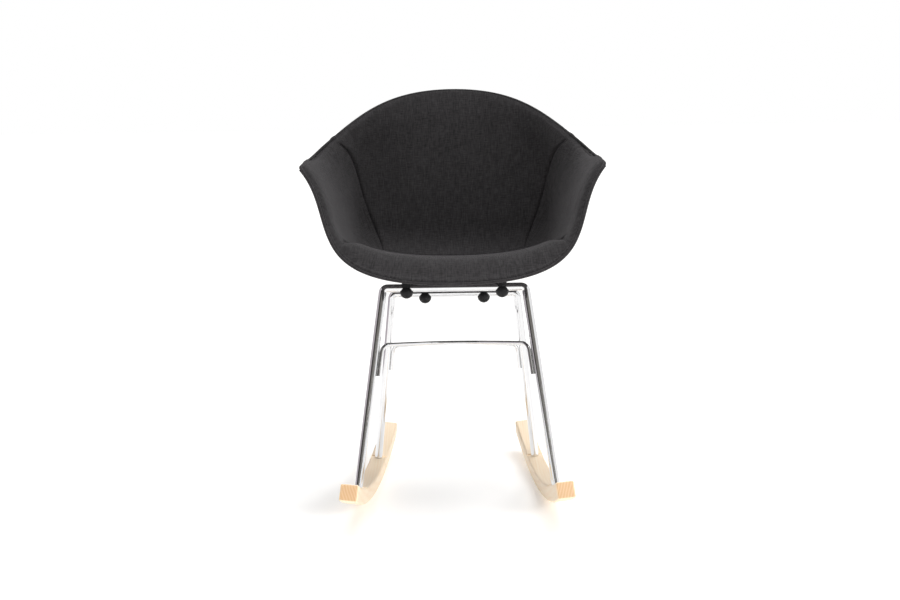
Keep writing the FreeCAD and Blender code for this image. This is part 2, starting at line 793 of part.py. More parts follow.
class Panel:
    """One panel: its foam depth, the shares it runs between and what each of its edges meets."""

    def __init__(self, depth, low, high, ends, low_edge, high_edge, first_edge, last_edge):
        self.depth = number(depth)
        self.low, self.high, self.ends = low, high, ends
        self.low_edge, self.high_edge = low_edge, high_edge
        self.first_edge, self.last_edge = first_edge, last_edge

    def edge(self, kind):
        """Foam share and rounding length of a seam or a rim."""
        if kind == "rim":
            return number("rim_foam_depth") / self.depth, number("rim_round")
        return number("seam_foam_share"), number("seam_round")

    def positions(self, low_reach, high_reach):
        """Places across the panel, from 0 to 1, closer together where its edges are rounded."""
        main = even(low_reach, 1 - high_reach, 10)
        return even(0, low_reach, 4)[:-1] + main + even(1 - high_reach, 1, 4)[1:]

    def rows(self, run, extra):
        """Lower and upper points of the foam at a run, and the top of a layer of extra depth on it."""
        low, high = self.low(run), self.high(run)
        width = (bucket_point(high, run, 0) - bucket_point(low, run, 0)).Length
        low_share, low_round = self.edge(self.low_edge)
        high_share, high_round = self.edge(self.high_edge)
        first_share, first_round = self.edge(self.first_edge)
        last_share, last_round = self.edge(self.last_edge)
        most = 0.4 * width
        low_round, high_round = min(low_round, most), min(high_round, most)
        along_run = swell((run - self.ends[0]) * centre_length, first_share, first_round)
        along_run = min(along_run, swell((self.ends[1] - run) * centre_length, last_share, last_round))
        base, foam, cloth = [], [], []
        for place in self.positions(low_round / width, high_round / width):
            share = low + (high - low) * place
            across = swell(place * width, low_share, low_round)
            across = min(across, swell((1 - place) * width, high_share, high_round))
            depth = self.depth * min(across, along_run)
            base.append(bucket_point(share, run, number("foam_clearance")))
            foam.append(bucket_point(share, run, depth))
            cloth.append(bucket_point(share, run, depth + extra))
        return base, foam, cloth


def panel_pair(name, panel, *stretches):
    """Foam and cover of a panel, lofted in one stretch of runs or joined from two."""
    foams = []
    cloths = []
    for runs in stretches:
        rows = [panel.rows(run, number("inner_fabric")) for run in runs]
        foams.append(Part.makeLoft([band(base, foam) for base, foam, cloth in rows], True, False))
        cloths.append(Part.makeLoft([band(foam, cloth) for base, foam, cloth in rows], True, False))
    for layer, pieces in (("foam", foams), ("cover", cloths)):
        thing = doc.addObject("Part::Feature", f"{name}_{layer}")
        thing.Shape = pieces[0] if len(pieces) == 1 else pieces[0].fuse(pieces[1:]).Solids[0]
        keep(thing, f"{name}_{layer}")


half_gap = number("seam_gap") / 2 / number("front_flatness")
crease_gap = number("seam_gap") / 2 / centre_length
seam_reach, rim_reach, corner_reach = number("seam_round"), number("rim_round"), number("seat_corner_reach")
seat_runs = runs_between(0, crease_share - crease_gap, rim_reach, corner_reach, 4)
back_runs = runs_between(crease_share + crease_gap, 1, seam_reach, rim_reach, 6)
arm_front_runs = runs_between(0, crease_share, rim_reach, corner_reach, 4)
arm_rear_runs = runs_between(crease_share, 1, corner_reach, rim_reach, 4)
seat_ends = (seat_runs[0], seat_runs[-1])
back_ends = (back_runs[0], back_runs[-1])


def inner_high(run):
    return seam_share(run) - half_gap


def inner_low(run):
    return -inner_high(run)


def arm_low(run):
    return seam_share(run) + half_gap


seat = Panel("seat_foam_depth", inner_low, inner_high, seat_ends, "seam", "seam", "rim", "seam")
back = Panel("back_foam_depth", inner_low, inner_high, back_ends, "seam", "seam", "seam", "rim")
panel_pair("seat", seat, seat_runs)
panel_pair("back", back, back_runs)
for word, side in SIDES.items():

    def seam_side(run, side=side):
        return side * arm_low(run)

    def rim_side(run, side=side):
        return side

    arm = Panel("arm_foam_depth", seam_side, rim_side, (0, 1), "seam", "rim", "rim", "rim")
    panel_pair(f"{word}_arm", arm, arm_front_runs, arm_rear_runs)

# Piping: a covered cord along the whole rim, where the inside and outside fabrics meet
piping_reach = number("piping_diameter") / 2 + number("piping_gap")
piping_lift = (number("rim_foam_depth") + number("inner_fabric") - wall - number("outer_fabric")) / 2


def rim_point(share, run):
    """Point beside the rim, clear of the edge and square to it."""
    step = 0.02
    nudge = (0, step if run == 0 else -step) if run in (0, 1) else (math.copysign(step, -share), 0)
    slide = (step, 0) if run in (0, 1) else (0, step)
    here = bucket_point(share, run, piping_lift)
    inside = bucket_point(share + nudge[0], run + nudge[1], piping_lift)
    before = bucket_point(share - slide[0], run - slide[1], piping_lift)
    after = bucket_point(share + slide[0], run + slide[1], piping_lift)
    edge = (after - before).normalize()
    away = here - inside
    return here + (away - edge * away.dot(edge)).normalize() * piping_reach


def rim_corner(side, run):
    """Point beyond a corner of the rim, clear of both of its edges."""
    here = bucket_point(side, run, piping_lift)
    inset = abs(run - 0.02)
    beside = rim_point(side, inset) - bucket_point(side, inset, piping_lift)
    beyond = rim_point(side, run) - here
    return here + beside + beyond


front_row = [rim_point(share, 0) for share in even(-0.96, 0.96, 26)]
right_row = [rim_point(1, run) for run in even(0.1, 0.9, 4)]
top_row = [rim_point(share, 1) for share in even(0.93, -0.93, 22)]
left_row = [rim_point(-1, run) for run in even(0.9, 0.1, 4)]
rim = front_row + [rim_corner(1, 0)] + right_row + [rim_corner(1, 1)]
rim += top_row + [rim_corner(-1, 1)] + left_row + [rim_corner(-1, 0)]


def corner_radius(index):
    """Largest tangent arc that the runs on both sides of a rim point leave room for."""
    here, before, after = rim[index], rim[index - 1], rim[(index + 1) % len(rim)]
    half_turn = (math.pi - (before - here).getAngle(after - here)) / 2
    shorter = min((before - here).Length, (after - here).Length)
    return 0.48 * shorter / math.tan(half_turn)


rim_radii = [corner_radius(index) for index in range(len(rim))]
piping_path = path_object("piping_path", rounded_path(rim, rim_radii, closed=True))
keep(swept("rim_piping", piping_path, cell("piping_diameter") / 2), "rim_piping")

# Checks, then one file for each node
doc.recompute()
for thing in doc.Objects:
    if "Invalid" in thing.State or "Error" in thing.State:
        raise RuntimeError(f"{thing.Name} did not build: {thing.State}")
os.makedirs("parts", exist_ok=True)
for name, thing in nodes.items():
    shape = thing.Shape
    if shape.isNull() or not shape.isValid():
        raise RuntimeError(f"{name} has no valid shape")
    box = shape.BoundBox
    volume = shape.Volume / 1000
    print(f"{name}: {len(shape.Solids)} solids, {volume:.1f} cm3, z {box.ZMin:.1f} to {box.ZMax:.1f}")
for name, thing in nodes.items():
    thing.Shape.exportStep(f"parts/{name}.step")
print(f"{len(nodes)} nodes written")
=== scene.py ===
# %% [markdown]
# # An upholstered rocking chair
# The imported CAD model is the fixed frame: tubes, rods, rockers and mounts are already in place, in
# metres. We light it, give every node a finish, and make the padded cover as new meshes over the plain
# CAD pads.

# %% Load the frame
import json
import math
from collections import namedtuple

import bmesh
import bpy
import numpy as np
from mathutils import Matrix, Vector


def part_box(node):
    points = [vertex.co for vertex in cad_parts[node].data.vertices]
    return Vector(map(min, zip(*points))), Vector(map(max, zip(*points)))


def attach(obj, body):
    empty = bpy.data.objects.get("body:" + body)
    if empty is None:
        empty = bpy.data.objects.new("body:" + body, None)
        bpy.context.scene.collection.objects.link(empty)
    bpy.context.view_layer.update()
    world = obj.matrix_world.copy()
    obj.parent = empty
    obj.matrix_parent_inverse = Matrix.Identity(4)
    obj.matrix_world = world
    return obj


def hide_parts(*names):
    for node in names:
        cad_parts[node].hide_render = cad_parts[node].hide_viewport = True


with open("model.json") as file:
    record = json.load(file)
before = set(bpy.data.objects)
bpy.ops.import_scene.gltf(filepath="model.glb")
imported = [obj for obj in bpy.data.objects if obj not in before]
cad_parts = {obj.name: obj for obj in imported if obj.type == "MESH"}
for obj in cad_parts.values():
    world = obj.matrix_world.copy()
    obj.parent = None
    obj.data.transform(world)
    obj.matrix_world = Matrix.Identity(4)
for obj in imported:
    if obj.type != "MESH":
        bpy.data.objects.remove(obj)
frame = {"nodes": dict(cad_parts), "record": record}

scene = bpy.context.scene
nodes = frame["nodes"]
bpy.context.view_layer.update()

# %% [markdown]
# ## Camera
# The chair was photographed from straight in front, a little below its top edge, with a longish lens. A
# camera could be placed by eye, but the legs and rockers give enough straight lines and arcs to work out
# its place: 2.8 m away, 0.79 m up, looking 8 degrees down. The focal length is given in pixels of the
# 900 pixel wide picture.

# %% Place the camera
PICTURE_WIDTH = 900
FOCAL_PIXELS = 1370
CAMERA_PLACE = (0, -2.7887, 0.79)
PAN, TILT, ROLL = (math.radians(angle) for angle in (0.19, 81.84, -0.85))
lens = bpy.data.cameras.new("photo_camera")
lens.sensor_width = 36
lens.lens = FOCAL_PIXELS * lens.sensor_width / PICTURE_WIDTH
camera = bpy.data.objects.new("photo_camera", lens)
scene.collection.objects.link(camera)
aim = Matrix.Rotation(PAN, 4, "Z") @ Matrix.Rotation(TILT, 4, "X") @ Matrix.Rotation(ROLL, 4, "Z")
camera.matrix_world = Matrix.Translation(CAMERA_PLACE) @ aim
scene.camera = camera
print("lens", round(lens.lens, 1), "mm")

# %% [markdown]
# ## Shader maths
# Materials are small programs made of nodes. Linking nodes by hand is slow to read, so one class wraps a
# socket: plus, minus and times on it add Math nodes, and one function adds any other node with its
# settings and inputs.

# %% Write shader maths as Python


def add_node(tree, kind, settings=None, inputs=None, output=0):
    """Add a node, set it up, feed its sockets with numbers or flows, and return the flow out of it."""
    node = tree.nodes.new(kind)
    for name, value in (settings or {}).items():
        setattr(node, name, value)
    for name, value in (inputs or {}).items():
        if isinstance(value, Flow):
            tree.links.new(value.socket, node.inputs[name])
        else:
            node.inputs[name].default_value = value
    return Flow(tree, node.outputs[output])


class Flow:
    """What comes out of a node's socket."""

    def __init__(self, tree, socket):
        self.tree, self.socket = tree, socket

    def maths(self, operation, *values):
        return add_node(self.tree, "ShaderNodeMath", {"operation": operation}, dict(enumerate(values)))

    def __add__(self, other):
        return self.maths("ADD", self, other)

    def __sub__(self, other):
        return self.maths("SUBTRACT", self, other)

    def __mul__(self, other):
        return self.maths("MULTIPLY", self, other)

    def __rsub__(self, other):
        return self.maths("SUBTRACT", other, self)

    __radd__ = __add__
    __rmul__ = __mul__

    def __abs__(self):
        return self.maths("ABSOLUTE", self)

    def sine(self):
        return self.maths("SINE", self)

    def cosine(self):
        return self.maths("COSINE", self)

    def root(self):
        return self.maths("SQRT", self)

    def angle_over(self, other):
        """Angle whose tangent is this value over another."""
        return self.maths("ARCTAN2", self, other)

    def clamp(self):
        return self.maths("MINIMUM", self.maths("MAXIMUM", self, 0.0), 1.0)

    def smooth(self, low, high):
        """0 below low, 1 above high, and an easy climb between."""
        inputs = {"Value": self, "From Min": low, "From Max": high}
        return add_node(self.tree, "ShaderNodeMapRange", {"interpolation_type": "SMOOTHSTEP"}, inputs)


# %% Add the nodes that most finishes use


def new_finish(name, **constants):
    """Material with one Principled shader, its constant sockets set."""
    material = bpy.data.materials.new(name)
    material.use_nodes = True
    shader = material.node_tree.nodes["Principled BSDF"]
    for socket, value in constants.items():
        shader.inputs[socket.replace("_", " ")].default_value = value
    return material, material.node_tree, shader


def feed(tree, shader, **flows):
    for socket, flow in flows.items():
        tree.links.new(flow.socket, shader.inputs[socket.replace("_", " ")])


def mix_colour(tree, factor, first, second):
    first, second = [value if isinstance(value, Flow) else (*value, 1) for value in (first, second)]
    return add_node(tree, "ShaderNodeMix", {"data_type": "RGBA"}, {0: factor, 6: first, 7: second}, 2)


def noise(tree, place, scale, detail=2.0, roughness=0.5):
    inputs = {"Vector": place, "Scale": scale, "Detail": detail, "Roughness": roughness}
    return add_node(tree, "ShaderNodeTexNoise", None, inputs)


def split(tree, vector):
    """The x, y and z of a vector flow."""
    return [add_node(tree, "ShaderNodeSeparateXYZ", None, {0: vector}, index) for index in range(3)]


def join(tree, x, y, z):
    return add_node(tree, "ShaderNodeCombineXYZ", None, {0: x, 1: y, 2: z})


def bump(tree, height, strength, distance):
    inputs = {"Height": height, "Strength": strength, "Distance": distance}
    return add_node(tree, "ShaderNodeBump", None, inputs)


def geometry(tree, name):
    return add_node(tree, "ShaderNodeNewGeometry", None, None, name)


def seen_rays(tree):
    """1 for rays from the camera, from a mirror or through glass, 0 for rays that carry light."""
    names = ("Is Camera Ray", "Is Glossy Ray", "Is Transmission Ray")
    rays = [add_node(tree, "ShaderNodeLightPath", None, None, name) for name in names]
    return (rays[0] + rays[1] + rays[2]).clamp()


# %% [markdown]
# ## Floor and light
# The chair stands on a white sweep under a wide soft light, high and a little behind it on the right, so
# the seat and the rim are bright and the hollow of the back is dark. A sun lamp with a wide angle is the
# simplest soft light, because it has no distance to set. A strip lamp on the right reaches the rockers
# under the seat. The floor glows a little by itself, which keeps the shadow under the chair pale, and the
# sky shows white but gives less light than it shows.

# %% Make the floor
FLOOR_HALF = 40
FLOOR_GLOW = 0.30
FLOOR_PAINT = (0.92, 0.91, 0.90, 1)
corners = [(x * FLOOR_HALF, y * FLOOR_HALF, 0) for x, y in ((-1, -1), (1, -1), (1, 1), (-1, 1))]
floor_mesh = bpy.data.meshes.new("floor")
floor_mesh.from_pydata(corners, [], [(0, 1, 2, 3)])
floor = bpy.data.objects.new("floor", floor_mesh)
scene.collection.objects.link(floor)
floor_material = bpy.data.materials.new("white_sweep")
floor_material.use_nodes = True
tree = floor_material.node_tree
tree.nodes.clear()
paint = add_node(tree, "ShaderNodeBsdfDiffuse", None, {"Color": FLOOR_PAINT})
glow = add_node(tree, "ShaderNodeEmission", None, {"Strength": FLOOR_GLOW})
surface = add_node(tree, "ShaderNodeAddShader", None, {0: paint, 1: glow})
floor_output = tree.nodes.new("ShaderNodeOutputMaterial")
tree.links.new(surface.socket, floor_output.inputs["Surface"])
floor_mesh.materials.append(floor_material)
print("floor", 2 * FLOOR_HALF, "m wide")

# %% Light the sky
SKY_LIGHT = 0.27
world = bpy.data.worlds.new("soft_studio")
world.use_nodes = True
scene.world = world
tree = world.node_tree
sky = tree.nodes["Background"]
sky.inputs["Color"].default_value = (1, 1, 1, 1)
sky_strength = seen_rays(tree) * (1 - SKY_LIGHT) + SKY_LIGHT
tree.links.new(sky_strength.socket, sky.inputs["Strength"])
scene.view_settings.view_transform = "Standard"
print("sky gives", SKY_LIGHT)

# %% Hang the lamps


def towards(azimuth, elevation):
    """Direction from the chair: azimuth 0 is to the camera, positive to its right."""
    turn, up = math.radians(azimuth), math.radians(elevation)
    return Vector((math.sin(turn) * math.cos(up), -math.cos(turn) * math.cos(up), math.sin(up)))


def hang(name, lamp, backward):
    """Object for a lamp that shines against a direction."""
    thing = bpy.data.objects.new(name, lamp)
    thing.rotation_euler = backward.to_track_quat("Z", "Y").to_euler()
    scene.collection.objects.link(thing)
    print(name, lamp.energy)
    return thing


softbox = bpy.data.lights.new("overhead_softbox", "SUN")
softbox.energy, softbox.angle = 2.35, math.radians(60)
hang("overhead_softbox", softbox, towards(135, 77))
strip = bpy.data.lights.new("floor_strip", "AREA")
strip.shape, strip.size, strip.size_y = "RECTANGLE", 1.2, 0.3
strip.energy, strip.spread = 1.3, math.radians(32)
strip_place = Vector((0.8, -1.7, 0.75))
strip_target = Vector((-0.05, -0.05, 0.02))
hang("floor_strip", strip, strip_place - strip_target).location = strip_place

# %% [markdown]
# Chrome shows whatever is around it. In a studio the room behind the camera is darker than the white
# sweep, and that gives polished tubes their dark core. Four curved screens stand for that room and for
# grey walls beside and behind the chair: they are seen only in reflections, so they neither show nor
# shade anything.

# %% Put up the screens
SCREEN_DISTANCE = 1.8
SCREEN_CENTRE = Vector((0, 0, 0.3))
SCREEN_ROWS, SCREEN_COLUMNS = 12, 24


def grid_faces(ids):
    """Four-sided faces between the rows and columns of a grid of point numbers."""
    return np.stack([ids[:-1, :-1], ids[:-1, 1:], ids[1:, 1:], ids[1:, :-1]], -1).reshape(-1, 4)


def screen(name, azimuths, elevations, colour):
    """Curved screen round the chair, seen only by mirror rays."""
    around = np.linspace(*azimuths, SCREEN_COLUMNS)
    upward = np.linspace(*elevations, SCREEN_ROWS)
    points = [towards(turn, rise) * SCREEN_DISTANCE + SCREEN_CENTRE for rise in upward for turn in around]
    ids = np.arange(len(points)).reshape(SCREEN_ROWS, SCREEN_COLUMNS)
    mesh = bpy.data.meshes.new(name)
    mesh.from_pydata(points, [], grid_faces(ids).tolist())
    material, _, _ = new_finish(name, Base_Color=(0, 0, 0, 1), Roughness=1.0,
                                Emission_Color=(*colour, 1), Emission_Strength=1.0)
    mesh.materials.append(material)
    thing = bpy.data.objects.new(name, mesh)
    scene.collection.objects.link(thing)
    thing.visible_camera = thing.visible_diffuse = thing.visible_shadow = False
    print(name, "from", azimuths[0], "to", azimuths[1], "degrees")


screen("dark_room", (-62, -28), (6, 80), (0.035, 0.032, 0.03))
screen("grey_room", (-28, 46), (6, 80), (0.20, 0.19, 0.175))
screen("left_wall", (-175, -62), (-9, 40), (0.52, 0.48, 0.51))
screen("far_wall", (128, 175), (-9, 12), (0.60, 0.58, 0.59))

# %% [markdown]
# ## Charcoal weave
# The cover is a fine plain weave of dark and lighter grey yarn. Up close its threads cross about every
# millimetre; from a step away it looks mottled, because the yarn varies along its length. The meshes below
# carry a vector called cloth: millimetres along the weft and the warp of the flat cloth. Streaks stretched
# along each thread direction give the mottling, a wave for each direction gives the crossing threads, and
# a little sheen lightens the turning edges.

# %% Weave the charcoal cloth
THREAD_PITCH = 1.3
THREAD_WAVE = 2 * math.pi / THREAD_PITCH
ALONG_YARN, ACROSS_YARN = 0.06, 0.6
DARK_YARN = (0.018, 0.0168, 0.0176)
LIGHT_YARN = (0.069, 0.0648, 0.0675)
charcoal, tree, shader = new_finish("charcoal_weave", Roughness=0.9, Specular_IOR_Level=0.2,
                                    Sheen_Weight=0.18, Sheen_Roughness=0.4, Sheen_Tint=(0.8, 0.78, 0.8, 1))
cloth = add_node(tree, "ShaderNodeAttribute", {"attribute_name": "cloth"}, None, "Vector")
weft, warp, layer = split(tree, cloth)
weft_slub = noise(tree, join(tree, weft * ALONG_YARN, warp * ACROSS_YARN, layer), 1.0, 3.0, 0.6)
warp_slub = noise(tree, join(tree, weft * ACROSS_YARN, warp * ALONG_YARN, layer + 7.3), 1.0, 3.0, 0.6)
blotch = noise(tree, cloth, 0.02, 3.0, 0.6)
crossing = (weft * THREAD_WAVE).sine() * (warp * THREAD_WAVE).sine()
melange = (weft_slub * 0.5 + warp_slub * 0.5 + crossing * 0.05 + blotch * 0.12).smooth(0.34, 0.80)
feed(tree, shader, Base_Color=mix_colour(tree, melange, DARK_YARN, LIGHT_YARN))
relief = crossing * 0.5 + (weft_slub + warp_slub) * 0.5
feed(tree, shader, Normal=bump(tree, relief, strength=0.5, distance=0.0004))
print("charcoal weave has", len(tree.nodes), "nodes")

# %% [markdown]
# ## Bucket form
# The moulded bucket is a fan of U-shaped sections. Its middle line runs over the front lip, along the seat
# and up the back; its arms end on a straight rim line on each side. Each half section is a Hermite curve
# from the middle line to the rim. This repeats the rule of the CAD source, so the cover fits the bucket
# without measuring a mesh.

# %% Describe the middle line
LIP = np.array([-0.228, 0.4558])
LIP_ANGLE, SEAT_ANGLE, BACK_ANGLE = np.radians([45, -6, 71])
LIP_RADIUS, TURN_RADIUS = 0.036, 0.110
LIP_LENGTH = (LIP_ANGLE - SEAT_ANGLE) * LIP_RADIUS
SEAT_LENGTH = 0.2713
TURN_LENGTH = (BACK_ANGLE - SEAT_ANGLE) * TURN_RADIUS
BACK_LENGTH = 0.3219
# First heading, bend and length of each stretch
STRETCHES = ((LIP_ANGLE, -1 / LIP_RADIUS, LIP_LENGTH), (SEAT_ANGLE, 0, SEAT_LENGTH),
             (SEAT_ANGLE, 1 / TURN_RADIUS, TURN_LENGTH), (BACK_ANGLE, 0, np.inf))
MIDDLE = LIP_LENGTH + SEAT_LENGTH + TURN_LENGTH + BACK_LENGTH
CREASE_DISTANCE = 0.374
CREASE = CREASE_DISTANCE / MIDDLE


def travel(heading, bend, distance):
    """Move along a straight or an arc, as y and z."""
    if bend == 0:
        return np.stack([distance * np.cos(heading), distance * np.sin(heading)], -1)
    end = heading + bend * distance
    return np.stack([np.sin(end) - np.sin(heading), np.cos(heading) - np.cos(end)], -1) / bend


def middle_line(run):
    """Points y, z of the middle line at shares of its length; past its end it goes straight on."""
    place, left = LIP, run * MIDDLE
    for heading, bend, length in STRETCHES:
        part = np.minimum(left, length)
        place = place + travel(heading, bend, part)
        left = left - part
    return place


print("middle line", round(MIDDLE, 3), "m, crease at", round(CREASE, 3))

# %% Describe the sections and the seams
ARM_TIP = np.array([0.2979, -0.086, 0.6669])
ARM_ROOT = np.array([0.2933, 0.062, 0.6802])
# Section at the lip, at the crease and at the top edge
RIM_ANGLES = (53.0, 54.0, 56.2)
FLATNESS = (0.903, 0.901, 0.5218)
FLARE = (0.4306, 0.599, 0.3865)
SEAM_AT_LIP, SEAM_GAIN, SEAM_TURN = 0.455, 0.035, 0.24
SEAM_AT_CREASE, SEAM_CLIMB, SEAM_BEND = 0.25, 0.54, 0.88


def ease(share):
    """0 to 1 with a level start and a level end."""
    return share * share * (3 - 2 * share)


def below_and_above(run):
    """Shares of the way from the lip to the crease, and from the crease to the top."""
    return np.clip(run / CREASE, 0, 1), np.clip((run - CREASE) / (1 - CREASE), 0, 1)


def eased(run, front, crease, top):
    """A size that eases from the lip, through the crease, to the top edge."""
    low, high = below_and_above(run)
    return front + (crease - front) * ease(low) + (top - crease) * high * high


def bucket(share, run, lift):
    """Points of the bucket: share across from -1 to 1, run from lip to top, lift above the moulded face."""
    share, run, lift = np.broadcast_arrays(*(np.asarray(value, float) for value in (share, run, lift)))
    start = middle_line(run)
    rim = ARM_TIP + (ARM_ROOT - ARM_TIP) * run[..., None]
    reach = rim[..., 1:] - start
    height = np.hypot(reach[..., 0], reach[..., 1])
    angle = np.radians(eased(run, *RIM_ANGLES))
    flat = eased(run, *FLATNESS)
    flare = eased(run, *FLARE)
    way = np.abs(share)
    leave = way**3 - 2 * way**2 + way
    arrive = 3 * way**2 - 2 * way**3
    settle = way**3 - way**2
    leave_rate = 3 * way**2 - 4 * way + 1
    arrive_rate = 6 * way - 6 * way**2
    settle_rate = 3 * way**2 - 2 * way
    across = leave * flat + arrive * rim[..., 0] + settle * flare * np.cos(angle)
    up = arrive * height + settle * flare * np.sin(angle)
    across_rate = leave_rate * flat + arrive_rate * rim[..., 0] + settle_rate * flare * np.cos(angle)
    up_rate = arrive_rate * height + settle_rate * flare * np.sin(angle)
    rate = np.hypot(across_rate, up_rate)
    across = across - lift * up_rate / rate
    up = up + lift * across_rate / rate
    yz = start + up[..., None] * reach / height[..., None]
    return np.concatenate([(np.where(share < 0, -1, 1) * across)[..., None], yz], -1)


def seam_share(run):
    """Share across where the arm panels meet the seat or the back."""
    low, high = below_and_above(run)
    seat_side = SEAM_AT_LIP + SEAM_GAIN * low - SEAM_TURN * low**16
    return np.where(run < CREASE, seat_side, SEAM_AT_CREASE + SEAM_CLIMB * ease(high**SEAM_BEND))


print("arms", 2 * ARM_TIP[0], "m apart at their tips")

# %% [markdown]
# ## Cloth on a grid
# Every cover piece is a grid of points, so its weave needs a flat pattern: where each point lay in the
# cloth before it was cut and sewn. An unwrap would give one, but springs are simpler here: a coarse copy
# of the grid is laid on a plane and every step between neighbours is pulled back to its true length, as a
# tailor smooths a panel flat.

# %% Lay a panel flat
PATTERN_SPOTS, PATTERN_PULLS = 28, 800
NEXT, LAST, ALL = slice(1, None), slice(None, -1), slice(None)
NEIGHBOURS = (((ALL, NEXT), (ALL, LAST)), ((NEXT, ALL), (LAST, ALL)),
              ((NEXT, NEXT), (LAST, LAST)), ((NEXT, LAST), (LAST, NEXT)))


def spread_line(line, spots, count):
    return np.interp(np.arange(count), spots, line)


def flat_pattern(points, axes, layer):
    """Millimetres along weft and warp at each point of a grid, and the number of its layer."""
    rows, columns = points.shape[:2]
    row_spots = np.unique(np.linspace(0, rows - 1, PATTERN_SPOTS).astype(int))
    column_spots = np.unique(np.linspace(0, columns - 1, PATTERN_SPOTS).astype(int))
    coarse = points[np.ix_(row_spots, column_spots)] * 1000
    flat = coarse[..., axes]
    lengths = [np.linalg.norm(coarse[far] - coarse[near], axis=-1) for far, near in NEIGHBOURS]
    for pull_number in range(PATTERN_PULLS):
        push = np.zeros_like(flat)
        count = np.zeros(flat.shape[:2])
        for (far, near), length in zip(NEIGHBOURS, lengths):
            gap = flat[far] - flat[near]
            pull = gap * (0.5 - 0.5 * length / np.linalg.norm(gap, axis=-1))[..., None]
            push[near] += pull
            push[far] -= pull
            count[near] += 1
            count[far] += 1
        flat = flat + push / count[..., None]
    flat = np.apply_along_axis(spread_line, 0, flat, row_spots, rows)
    flat = np.apply_along_axis(spread_line, 1, flat, column_spots, columns)
    return np.concatenate([flat, np.full((rows, columns, 1), layer)], -1)


# %% Turn grids into meshes


def link_mesh(name, points, faces, cloth_place):
    """Mesh object from points and faces, smooth, with the weave's own coordinates on its points."""
    mesh = bpy.data.meshes.new(name)
    mesh.from_pydata(points.tolist(), [], faces.tolist())
    build = bmesh.new()
    build.from_mesh(mesh)
    bmesh.ops.recalc_face_normals(build, faces=build.faces)
    build.to_mesh(mesh)
    build.free()
    weave = mesh.attributes.new("cloth", "FLOAT_VECTOR", "POINT")
    weave.data.foreach_set("vector", cloth_place.astype(np.float32).ravel())
    mesh.polygons.foreach_set("use_smooth", np.ones(len(mesh.polygons), bool))
    mesh.set_sharp_from_angle(angle=math.radians(60))
    thing = bpy.data.objects.new(name, mesh)
    scene.collection.objects.link(thing)
    mesh.materials.append(charcoal)
    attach(thing, "root")
    print(name, len(points), "points")
    return thing


def closed_grid(name, upper, lower, axes, layer):
    """Closed solid between two grids of points."""
    rows, columns = upper.shape[:2]
    top = np.arange(rows * columns).reshape(rows, columns)
    below = top + rows * columns
    border = np.concatenate([top[0, :-1], top[:-1, -1], top[-1, :0:-1], top[:0:-1, 0]])
    onward = np.roll(border, -1)
    walls = np.stack([border, border + rows * columns, onward + rows * columns, onward], -1)
    faces = np.concatenate([grid_faces(top), grid_faces(below)[:, ::-1], walls])
    points = np.concatenate([upper.reshape(-1, 3), lower.reshape(-1, 3)])
    place = flat_pattern(upper, axes, layer).reshape(-1, 3)
    return link_mesh(name, points, faces, np.concatenate([place, place]))


# %% [markdown]
# ## Padded panels
# Seat, back and arms are four cut panels sewn together over foam. A box with rounded edges would look
# stiff: real panels swell in the middle and dip towards each seam. So every panel is a closed grid whose
# lift above the bucket falls off towards each edge. Shortfalls from neighbouring edges add like the sides
# of a right angle, which rounds the corners. The grid is denser near the edges, where the shape turns
# fastest. Along the rim the panels reach on over the piping.

# %% Shape the padding
FABRIC = 0.0012
GLUE = 0.0003
THINNEST = 0.0015
CROWDING = 0.65
SIDE_OVER = 0.0130
TOP_OVER = 0.0056
OVER_LIFT, OVER_STEEPNESS = 0.003, 2.5
Edge = namedtuple("Edge", "lift reach roundness flange")
RIM = Edge(0.0045, 0.048, 1.6, 0)
FRONT = Edge(0.0034, 0.042, 2.1, 0.006)
SEAM = Edge(0.0125, 0.013, 2.0, 0)
SEAT_SEAM = Edge(0.0125, 0.024, 2.0, 0)
FOLD = Edge(0.0040, 0.009, 2.0, 0)


def spaced(count):
    """Places from 0 to 1, closer together at both ends."""
    even = np.linspace(0, 1, count)
    return (1 - CROWDING) * even + CROWDING * (1 - np.cos(np.pi * even)) / 2


def from_edges(points, axis):
    """Distances over a grid from its first and from its last edge."""
    steps = np.linalg.norm(np.diff(points, axis=axis), axis=2)
    gone = np.insert(steps.cumsum(axis), 0, 0, axis)
    return gone, np.take(gone, [-1], axis) - gone


def shortfall(full, edge, distance):
    """How far below its full lift a panel lies near an edge; it rises behind the edge's flat flange."""
    left = 1 - np.clip((distance - edge.flange) / edge.reach, 0, 1)
    return (full - edge.lift) * (1 - (1 - left**edge.roundness) ** (1 / edge.roundness))


def top_over(share):
    """How much further the run goes to lie over the piping along the top edge."""
    probe = 0.02
    step = bucket(share, 1.0, 0.0) - bucket(share, 1.0 - probe, 0.0)
    return TOP_OVER * probe / np.linalg.norm(step, axis=-1)


def panel(name, share, run, full, edges, dip, axes, layer):
    """Padded panel over a grid; edges are its first and last column, then its first and last row."""
    beyond = np.maximum((np.abs(share) - 1) / SIDE_OVER, (run - 1) / top_over(share))
    base = bucket(share, run, GLUE + OVER_LIFT * np.clip(beyond * OVER_STEEPNESS, 0, 1))
    gaps = (*from_edges(base, 1), *from_edges(base, 0))
    missing = np.sqrt(sum(shortfall(full, edge, gap) ** 2 for edge, gap in zip(edges, gaps)))
    upper = bucket(share, run, np.maximum(full - missing - dip(*gaps), THINNEST))
    pad = closed_grid(name, upper, base, axes, layer)
    stem = name.removesuffix("_pad")
    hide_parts(f"{stem}_foam", f"{stem}_cover")
    return upper, base


# %% [markdown]
# The seat is the fullest pad. Its swell is greatest in front and fades towards the fold, so from the front
# it hides its own rear. Behind its front edge the hem is sewn down, which leaves a groove. The back is
# thinner and flatter, and starts in the fold.

